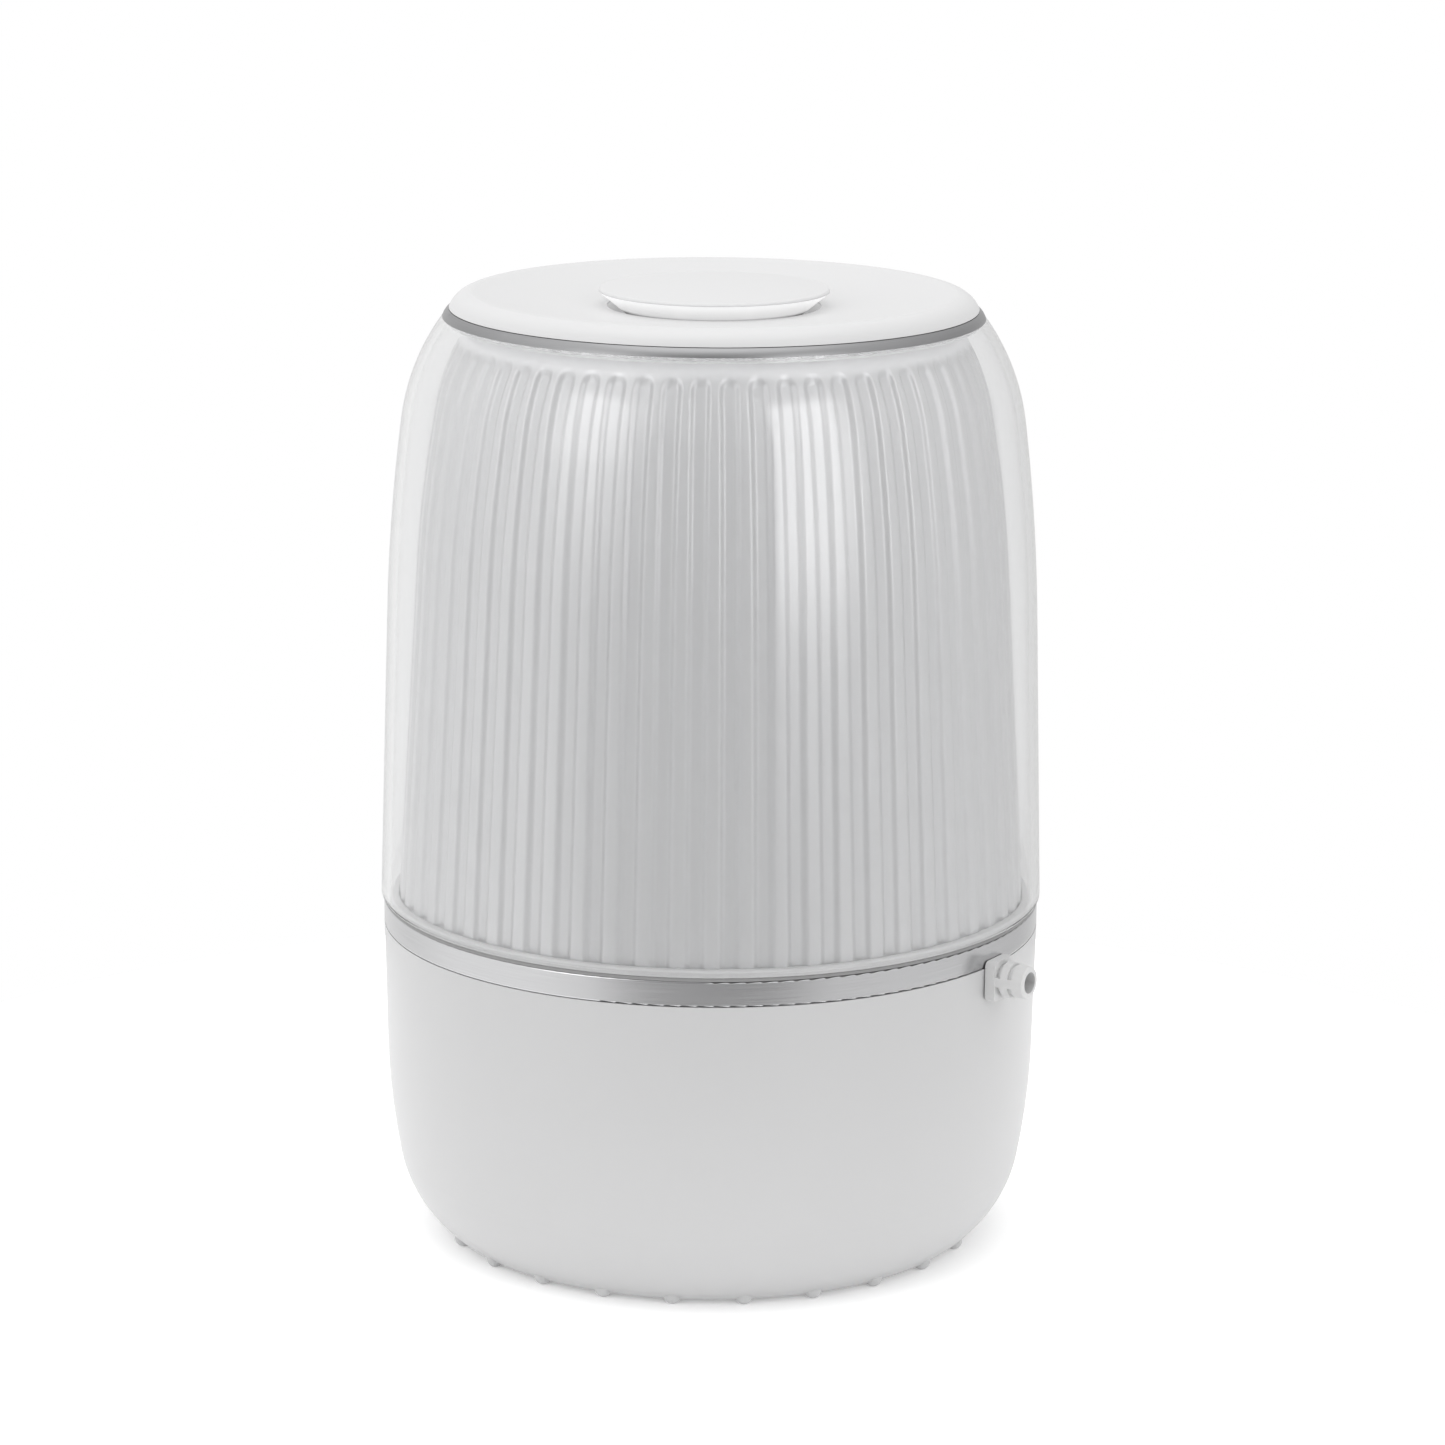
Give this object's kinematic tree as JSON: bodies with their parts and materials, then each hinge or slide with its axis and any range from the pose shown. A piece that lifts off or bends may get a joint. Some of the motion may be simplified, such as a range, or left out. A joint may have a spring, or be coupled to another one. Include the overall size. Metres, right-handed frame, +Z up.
{
  "type": "air purifier",
  "caption": "Round table-top air purifier: white bowl on small nubs, silver band, clear dome over a fluted silvery shade, and a dished white cap with a mushroom push button.",
  "frame": {"origin": "on the body's axis, at the level of the surface that the foot nubs stand on", "axes": "+Z up along the body's axis, -Y towards the front, +X to the viewer's right, where the cord gland is"},
  "size_m": [0.1916, 0.1914, 0.2774],
  "materials": {
    "white_plastic": "satin white moulded plastic",
    "silver_trim": "satin silver trim",
    "dark_seal": "matt dark rubber",
    "clear_plastic": "clear polished plastic",
    "silver_shade": "pearly silver plastic",
    "gland_plastic": "soft white moulded plastic",
    "inner_plastic": "plain moulded plastic",
    "impeller_plastic": "black moulded plastic",
    "steel": "bright plated steel",
    "motor_steel": "drawn steel can",
    "motor_core": "dark laminated core",
    "brass_nut": "turned brass",
    "board": "green circuit board",
    "component": "black electronic parts",
    "light_lens": "pale light lenses",
    "lead_sleeve": "dark flexible sleeve",
    "filter_paper": "pleated filter paper",
    "carbon_felt": "black carbon felt"
  },
  "bodies": {
    "housing": {"base_shell": "white_plastic", "silver_band": "silver_trim", "dome_seal": "dark_seal", "cord_gland": "gland_plastic", "fan_deck": "inner_plastic", "deck_screws": "steel", "fan_housing": "inner_plastic", "housing_screws": "steel", "air_duct": "inner_plastic", "motor_mount": "inner_plastic", "motor_screws": "steel", "motor_can": "motor_steel", "motor_stator": "motor_core", "motor_bearings": "steel", "main_board": "board", "board_parts": "component", "light_ring": "board", "light_chips": "light_lens", "board_screws": "steel", "switch_bracket": "inner_plastic", "switch_board": "board", "push_switch": "component", "switch_lead": "lead_sleeve", "filter_bottom_cap": "inner_plastic", "filter_pleats": "filter_paper", "carbon_sleeve": "carbon_felt", "filter_top_cap": "inner_plastic", "filter_seal": "dark_seal"},
    "dome": {"outer_dome": "clear_plastic", "fluted_shade": "silver_shade", "cap_ring": "silver_trim", "top_cap": "white_plastic", "cap_screws": "steel", "outlet_grille": "inner_plastic", "grille_screws": "steel", "button_spring": "steel"},
    "button": {"top_button": "white_plastic", "stem_clip": "steel"},
    "rotor": {"impeller": "impeller_plastic", "motor_shaft": "steel", "motor_rotor": "motor_core", "impeller_nut": "brass_nut"},
    "hatch": {"filter_hatch": "white_plastic"}
  },
  "joints": [
    {"name": "fan_spin", "type": "hinge", "parent": "housing", "child": "rotor", "pos_m": [0, 0, 0.1], "axis": [0, 0, 1], "continuous": true},
    {"name": "dome_lift", "type": "slide", "parent": "housing", "child": "dome", "axis": [0, 0, 1], "range_m": [0, 0.17]},
    {"name": "button_press", "type": "slide", "parent": "dome", "child": "button", "axis": [0, 0, -1], "range_m": [0, 0.002], "stiffness_N_per_m": 400, "springref_m": -0.003, "deforming": ["button_spring"]},
    {"name": "hatch_twist", "type": "hinge", "parent": "housing", "child": "hatch", "pos_m": [0, 0, 0.005], "axis": [0, 0, 1], "range_deg": [0, 25]}
  ]
}
